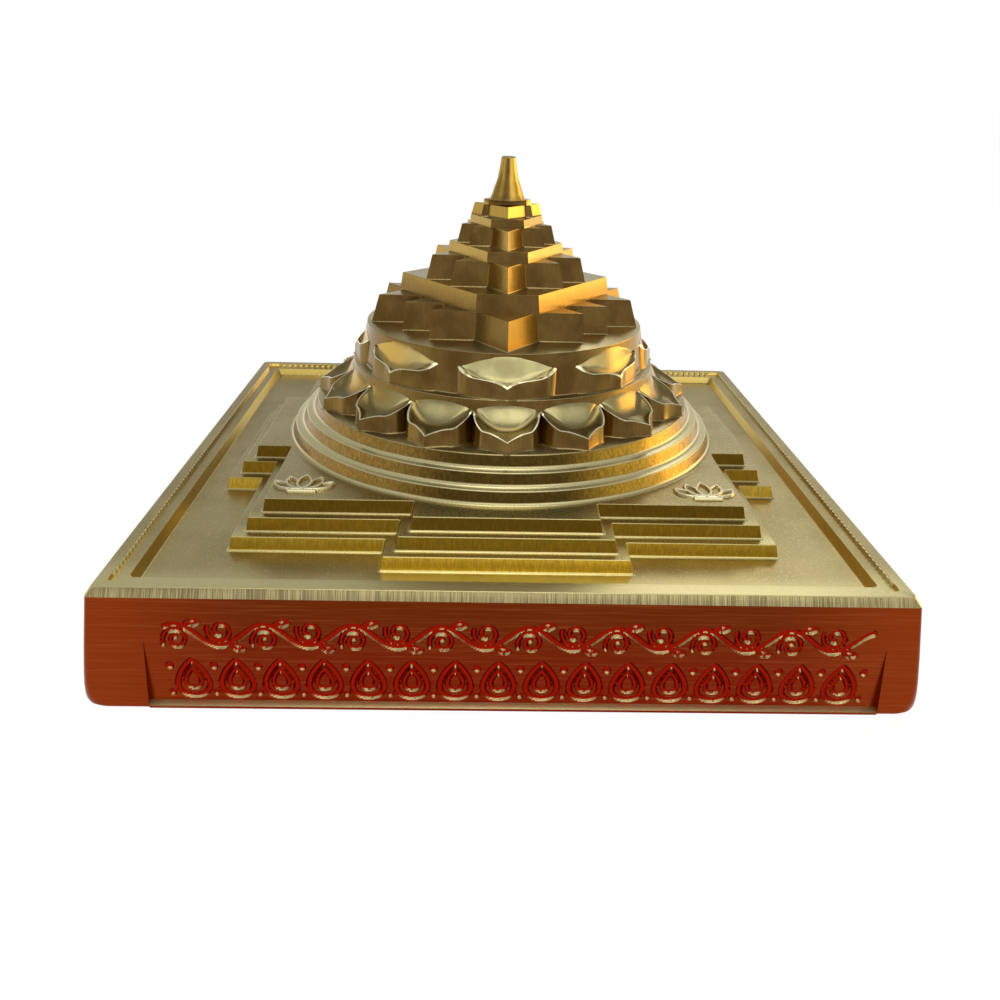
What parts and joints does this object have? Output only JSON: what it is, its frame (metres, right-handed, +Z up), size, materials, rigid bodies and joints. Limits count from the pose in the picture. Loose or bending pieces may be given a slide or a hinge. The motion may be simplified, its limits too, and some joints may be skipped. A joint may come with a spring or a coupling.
{
  "type": "shri yantra",
  "caption": "Raised brass shri yantra on a square plinth, with stepped walks and gates, round girdles, lotus petals and stacked interlaced triangles.",
  "frame": {"origin": "centre of the plinth's flat foot", "axes": "+Z up through the summit drop, -Y towards the front, +X to the right seen from the front"},
  "size_m": [0.08, 0.08, 0.0473],
  "materials": {
    "satin_brass": "milled satin",
    "plinth_brass": "brushed, reddened on the sides"
  },
  "bodies": {
    "root": {"plinth": "plinth_brass", "outer_walk": "satin_brass", "middle_walk": "satin_brass", "inner_walk": "satin_brass", "outer_girdle": "satin_brass", "middle_girdle": "satin_brass", "inner_girdle": "satin_brass", "sixteen_petal_tier": "satin_brass", "eight_petal_tier": "satin_brass", "fourteen_point_tier": "satin_brass", "first_hexagon_tier": "satin_brass", "outer_ten_point_tier": "satin_brass", "second_hexagon_tier": "satin_brass", "inner_ten_point_tier": "satin_brass", "third_hexagon_tier": "satin_brass", "eight_point_tier": "satin_brass", "fourth_hexagon_tier": "satin_brass", "central_triangle": "satin_brass", "summit_drop": "satin_brass"}
  },
  "joints": []
}
